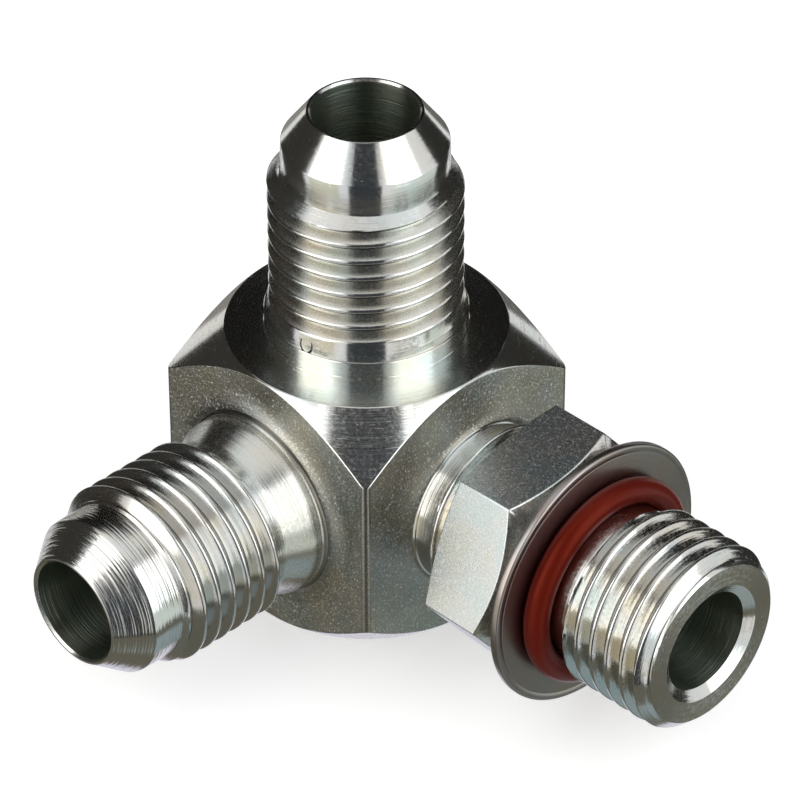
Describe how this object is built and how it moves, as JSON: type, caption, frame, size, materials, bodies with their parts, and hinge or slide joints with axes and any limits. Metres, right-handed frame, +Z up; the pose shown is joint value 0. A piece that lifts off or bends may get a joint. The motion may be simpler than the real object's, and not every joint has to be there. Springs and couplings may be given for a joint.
{
  "type": "three-way corner tube fitting",
  "caption": "Corner tube fitting: a square plated steel block with threaded flare ends and an adjustable stud end with locknut, backup washer and O-ring, all at right angles.",
  "frame": {"origin": "centre of the turned base face of the block, under the top leg", "axes": "+Z up the top flare leg, +X out along the adjustable stud, -Y out along the side flare leg"},
  "size_m": [0.0445, 0.0395, 0.0396],
  "materials": {
    "body_steel": "zinc-plated carbon steel, bright where turned and satin on the block's side faces",
    "nut_steel": "zinc-plated carbon steel, satin",
    "washer_steel": "zinc-plated steel washer, satin with a bright rim",
    "seal_rubber": "brown-red rubber with a soft sheen"
  },
  "bodies": {
    "fitting": {"fitting_body": "body_steel", "o_ring": "seal_rubber"},
    "washer": {"backup_washer": "washer_steel"},
    "locknut": {"locknut": "nut_steel"}
  },
  "joints": [
    {"name": "washer_slide", "type": "slide", "parent": "fitting", "child": "washer", "axis": [1, 0, 0], "range_m": [-0.00213, 0]},
    {"name": "locknut_turn", "type": "hinge", "parent": "washer", "child": "locknut", "pos_m": [0.0183, 0, 0.011], "axis": [1, 0, 0], "range_deg": [-540, 0]}
  ],
  "couplings": [
    {"joint": "washer_slide", "follows": "locknut_turn", "m_per_rad": 0.00022457}
  ]
}
